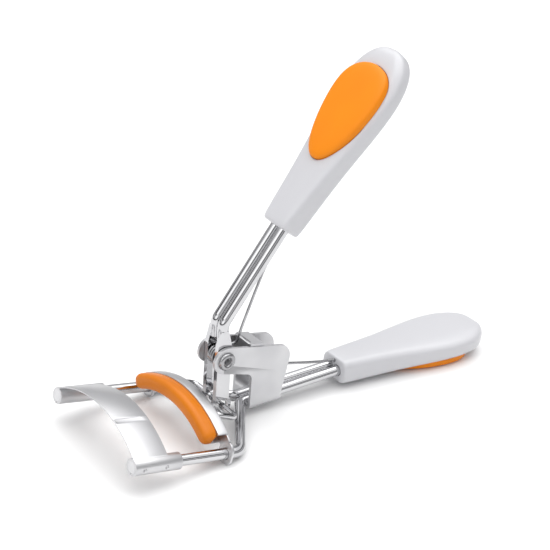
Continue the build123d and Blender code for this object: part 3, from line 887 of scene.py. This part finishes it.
def build_handle(name, sizes, finish, place, body, node_name, arm_lift):
    """Paddle shell with a seat for its grip and a mouth for its wires."""
    first = HANDLE_STATIONS[0]
    shell = start(
        "plane", name, scale=(2 * first[2], 2 * first[1], 1), rotation=(0, math.pi / 2, 0), size=1,
    )
    edit(shell)
    bpy.ops.mesh.bevel(offset=0.9 * sizes.handle_corner, segments=5, affect="VERTICES")
    bpy.ops.mesh.select_mode(type="FACE")
    bpy.ops.mesh.select_all(action="SELECT")
    for (s0, w0, t0), (s1, w1, t1) in zip(HANDLE_STATIONS, HANDLE_STATIONS[1:]):
        push((s1 - s0, 0, 0), "region", (s1, 0, 0), (1, w1 / w0, t1 / t0))
    close_up()
    finish_with(shell, "SUBSURF", levels=2, render_levels=2)
    seat_cut = egg_disc("seat", GRIP_FACE - SEAT_DEPTH, sizes.grip_gap / MM)
    edit(seat_cut)
    bpy.ops.mesh.select_all(action="SELECT")
    push((0, 0, 4))
    close_up()
    wire_y = TWIN_Y if body == "frame" else LEVER_Y
    mouths = [
        start("cylinder", "mouth", location=(1.0, hand * wire_y, 0), rotation=(0, math.pi / 2, 0),
              radius=WIRE_MOUTH, depth=4, vertices=32)
        for hand in (-1, 1)
    ]
    mouths.append(
        start("cylinder", "mouth", location=(1.0, 0, arm_lift), rotation=(0, math.pi / 2, 0),
              radius=SPRING_MOUTH, depth=4, vertices=20)
    )
    cut(shell, seat_cut, *mouths)
    soften(shell, 0.12 * MM, 2, 50)
    smooth(shell, 38)
    return settle(shell, place, finish, body, "handle_white", node_name)


def build_grip(name, sizes, finish, place, body, node_name):
    """Crowned egg-shaped grip that fills its seat."""
    grip = egg_disc(name, GRIP_FACE - GRIP_DEPTH)
    edit(grip)
    bpy.ops.mesh.select_all(action="SELECT")
    edge = GRIP_SEAT + sizes.grip_height / MM
    push((0, 0, edge - GRIP_FACE + GRIP_DEPTH))
    height, last = edge, 1.0
    for factor, share in GRIP_CROWN:
        level = edge + share * (GRIP_FACE - edge)
        push((0, 0, level - height), "region", (*GRIP_MIDDLE, level), (factor / last, factor / last, 1))
        height, last = level, factor
    close_up()
    smooth(grip, 60)
    return settle(grip, place, finish, body, "grip_orange", node_name)


# ---------------------------------------------------------------- operators

def get_finish(name):
    """Finish by name; the finishes are made first."""
    if name not in bpy.data.materials:
        raise RuntimeError(f"make the finishes before the pieces: {name} is missing")
    return bpy.data.materials[name]


class CURLER_OT_finishes(bpy.types.Operator):
    """Make the shared effects and the finishes"""

    bl_idname = "curler.finishes"
    bl_label = "Finishes"

    def execute(self, context):
        colours = context.scene.curler_colours
        scratches()
        smudges()
        moulded_grain()
        plate = (tuple(colours.plate_light), tuple(colours.plate_dull))
        steel = (tuple(colours.steel_light), tuple(colours.steel_dull))
        shell = (tuple(colours.shell_light), tuple(colours.shell_dull))
        grip = (tuple(colours.grip_light), tuple(colours.grip_dull))
        pad = (tuple(colours.pad_light), tuple(colours.pad_dull))
        metal("Plated wire", *plate, low=0.04, high=0.10, stretch=(0.15, 1.0, 1.0), density=5200.0)
        metal("Plated sheet", *plate, low=0.40, high=0.48, stretch=(0.5, 1.0, 1.0), density=3600.0)
        metal("Rivet steel", *steel, low=0.16, high=0.36, stretch=(1.0, 0.4, 1.0), density=4200.0)
        metal("Spring steel", *steel, low=0.16, high=0.30, stretch=(1.0, 1.0, 0.3), density=6200.0)
        moulded(
            "White shell", *shell, low=0.30, high=0.34, cell=1500.0, depth=0.006 * MM, coat=0.25,
            raised=0.02,
        )
        moulded(
            "Orange grip", *grip, low=0.42, high=0.58, cell=3200.0, depth=0.02 * MM, ior=1.33
        )
        moulded(
            "Orange pad", *pad, low=0.34, high=0.50, cell=2600.0, depth=0.012 * MM, ior=1.36
        )
        return {"FINISHED"}


class CURLER_OT_wires(bpy.types.Operator):
    """Finish the frame, lever and link wires and the spacer"""

    bl_idname = "curler.wires"
    bl_label = "Wires"

    def execute(self, context):
        for name in BARE_WIRES:
            dress(name, get_finish("Plated wire"))
        dress("pivot_spacer", get_finish("Rivet steel"))
        return {"FINISHED"}


class CURLER_OT_fixed_jaw(bpy.types.Operator):
    """Build the fixed jaw"""

    bl_idname = "curler.fixed_jaw"
    bl_label = "Fixed jaw"

    def execute(self, context):
        build_fixed_jaw(context.scene.curler_sizes, get_finish("Plated sheet"))
        return {"FINISHED"}


class CURLER_OT_moving_jaw(bpy.types.Operator):
    """Build the moving jaw"""

    bl_idname = "curler.moving_jaw"
    bl_label = "Moving jaw"

    def execute(self, context):
        build_moving_jaw(context.scene.curler_sizes, get_finish("Plated sheet"))
        return {"FINISHED"}


class CURLER_OT_lash_pad(bpy.types.Operator):
    """Build the lash pad"""

    bl_idname = "curler.lash_pad"
    bl_label = "Lash pad"

    def execute(self, context):
        build_lash_pad(context.scene.curler_sizes, get_finish("Orange pad"))
        return {"FINISHED"}


class CURLER_OT_bracket(bpy.types.Operator):
    """Build the pivot bracket and its rivet"""

    bl_idname = "curler.bracket"
    bl_label = "Bracket and rivet"

    def execute(self, context):
        build_bracket(context.scene.curler_sizes, get_finish("Plated sheet"))
        build_rivet(get_finish("Rivet steel"))
        return {"FINISHED"}


class CURLER_OT_spring(bpy.types.Operator):
    """Build the return spring"""

    bl_idname = "curler.spring"
    bl_label = "Return spring"

    def execute(self, context):
        build_spring(context.scene.curler_sizes, get_finish("Spring steel"))
        return {"FINISHED"}


class CURLER_OT_handles(bpy.types.Operator):
    """Build the two handles"""

    bl_idname = "curler.handles"
    bl_label = "Handles"

    def execute(self, context):
        sizes = context.scene.curler_sizes
        shell = get_finish("White shell")
        upright = seat(*UPPER_ENTRY)
        build_handle(
            "upper_handle_shell", sizes, shell, upright, "lever", "upper_handle", UPPER_ARM_LIFT
        )
        over = seat(*LOWER_ENTRY) @ Matrix.Rotation(math.pi, 4, "X")
        build_handle(
            "lower_handle_shell", sizes, shell, over, "frame", "lower_handle", LOWER_ARM_LIFT
        )
        return {"FINISHED"}


class CURLER_OT_grips(bpy.types.Operator):
    """Build the two soft grips"""

    bl_idname = "curler.grips"
    bl_label = "Grips"

    def execute(self, context):
        sizes = context.scene.curler_sizes
        rubber = get_finish("Orange grip")
        build_grip("upper_grip_pad", sizes, rubber, seat(*UPPER_ENTRY), "lever", "upper_grip")
        over = seat(*LOWER_ENTRY) @ Matrix.Rotation(math.pi, 4, "X")
        build_grip("lower_grip_pad", sizes, rubber, over, "frame", "lower_grip")
        return {"FINISHED"}


def area_light(name, location, target, size, power):
    """Soft rectangular light that faces a point."""
    data = bpy.data.lights.new(name, "AREA")
    data.shape = "RECTANGLE"
    data.size, data.size_y = size
    data.energy = power
    light = bpy.data.objects.new(name, data)
    bpy.context.scene.collection.objects.link(light)
    light.location = location
    light.rotation_euler = (Vector(target) - Vector(location)).to_track_quat("-Z", "Y").to_euler()
    return light


class CURLER_OT_stage(bpy.types.Operator):
    """Set the floor, the light and the camera"""

    bl_idname = "curler.stage"
    bl_label = "Stage"

    def execute(self, context):
        stage = context.scene.curler_stage
        floor = start("plane", "floor", scale=(6000, 6000, 1), size=1)
        finish, tree, shader, place = finish_base("Pale floor", 0.0)
        grain = node(tree, "Group", node_tree=bpy.data.node_groups["Handling smudges"])
        grain.inputs["Patch"].default_value = 3.0
        join(tree, place, "Object", grain, "Place")
        pale = tuple(context.scene.curler_colours.floor)
        two_tone(tree, shader, grain, "Patches", pale, tuple(0.985 * c for c in pale))
        shader.inputs["Roughness"].default_value = 0.6
        shader.inputs["Specular IOR Level"].default_value = 0.2
        floor.data.materials.append(finish)

        area_light("top_light", (0.10, 0.12, 0.90), (0, 0, 0), (1.2, 1.0), stage.top_light)
        area_light("side_light", (-0.85, -0.30, 0.50), (0, 0, 0.03), (0.7, 0.8), stage.side_light)

        world = bpy.data.worlds.new("Studio")
        context.scene.world = world
        world.use_nodes = True
        tree = world.node_tree
        back = tree.nodes["Background"]
        place = node(tree, "TexCoord")
        parts = node(tree, "SeparateXYZ")
        ramp = node(tree, "ValToRGB")
        points = ramp.color_ramp.elements
        points[0].position, points[0].color = 0.0, (0.03, 0.03, 0.035, 1)
        points[1].position, points[1].color = 0.70, (1.10, 1.10, 1.10, 1)
        for height, level in SKY:
            points.new(height).color = (level, level, 1.02 * level, 1)
        join(tree, place, "Generated", parts, "Vector")
        join(tree, parts, "Z", ramp, "Fac")
        join(tree, ramp, "Color", back, "Color")
        back.inputs["Strength"].default_value = 1.0

        data = bpy.data.cameras.new("camera")
        data.lens = stage.lens
        data.sensor_width = 36.0
        data.clip_start, data.clip_end = 0.01, 20.0
        camera = bpy.data.objects.new("camera", data)
        context.scene.collection.objects.link(camera)
        camera.location = CAMERA_PLACE
        camera.rotation_euler = [math.radians(angle) for angle in CAMERA_TURN]
        context.scene.camera = camera
        context.scene.view_settings.view_transform = "Standard"
        return {"FINISHED"}


class CURLER_PT_panel(bpy.types.Panel):
    """Everything that builds the eyelash curler"""

    bl_idname = "CURLER_PT_panel"
    bl_label = "Eyelash Curler"
    bl_space_type = "VIEW_3D"
    bl_region_type = "UI"
    bl_category = "Curler"

    def draw(self, context):
        for group in ("curler_sizes", "curler_colours", "curler_stage"):
            settings = getattr(context.scene, group)
            box = self.layout.box()
            for name in settings.__annotations__:
                box.prop(settings, name)
        for operator in OPERATORS:
            self.layout.operator(operator.bl_idname)


OPERATORS = (
    CURLER_OT_finishes, CURLER_OT_stage, CURLER_OT_wires, CURLER_OT_fixed_jaw, CURLER_OT_moving_jaw,
    CURLER_OT_lash_pad, CURLER_OT_bracket, CURLER_OT_spring, CURLER_OT_handles, CURLER_OT_grips,
)
GROUPS = {
    "curler_sizes": CurlerSizes,
    "curler_colours": CurlerColours,
    "curler_stage": CurlerStage,
}


def register():
    """Register the classes and hang the settings on the scene."""
    for name, group in GROUPS.items():
        bpy.utils.register_class(group)
        setattr(bpy.types.Scene, name, PointerProperty(type=group))
    for operator in OPERATORS:
        bpy.utils.register_class(operator)
    bpy.utils.register_class(CURLER_PT_panel)


def unregister():
    """Take everything away again."""
    bpy.utils.unregister_class(CURLER_PT_panel)
    for operator in reversed(OPERATORS):
        bpy.utils.unregister_class(operator)
    for name, group in GROUPS.items():
        delattr(bpy.types.Scene, name)
        bpy.utils.unregister_class(group)


def main():
    """Build every piece round the frame."""
    register()
    bpy.ops.curler.finishes()
    bpy.ops.curler.stage()
    bpy.ops.curler.wires()
    bpy.ops.curler.fixed_jaw()
    bpy.ops.curler.moving_jaw()
    bpy.ops.curler.lash_pad()
    bpy.ops.curler.bracket()
    bpy.ops.curler.spring()
    bpy.ops.curler.handles()
    bpy.ops.curler.grips()


if __name__ == "__main__":
    main()
